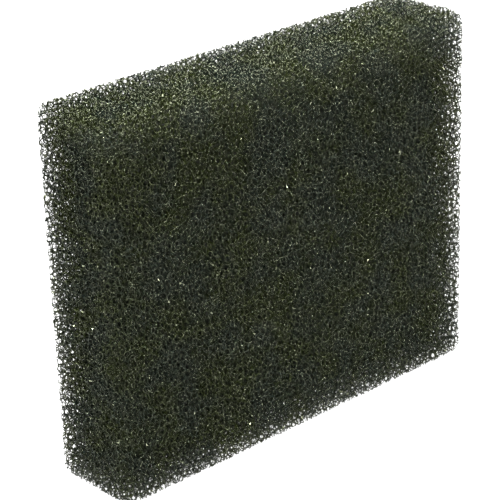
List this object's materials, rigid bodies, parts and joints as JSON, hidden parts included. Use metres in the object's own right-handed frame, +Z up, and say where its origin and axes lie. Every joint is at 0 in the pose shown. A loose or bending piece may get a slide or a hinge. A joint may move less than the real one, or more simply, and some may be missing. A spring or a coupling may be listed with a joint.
{
  "type": "foam air filter element",
  "caption": "Rectangular block of dark open-cell foam that filters the intake air of a small engine; a soft pad that drops into its filter housing.",
  "frame": {"origin": "centre of the long narrow side that the block stands on", "axes": "+X along the block, +Y through its thickness, the way the air flows, and +Z up its height"},
  "size_m": [0.062, 0.014, 0.051],
  "materials": {
    "foam": "matte"
  },
  "bodies": {
    "root": {"foam_block": "foam"}
  },
  "joints": []
}
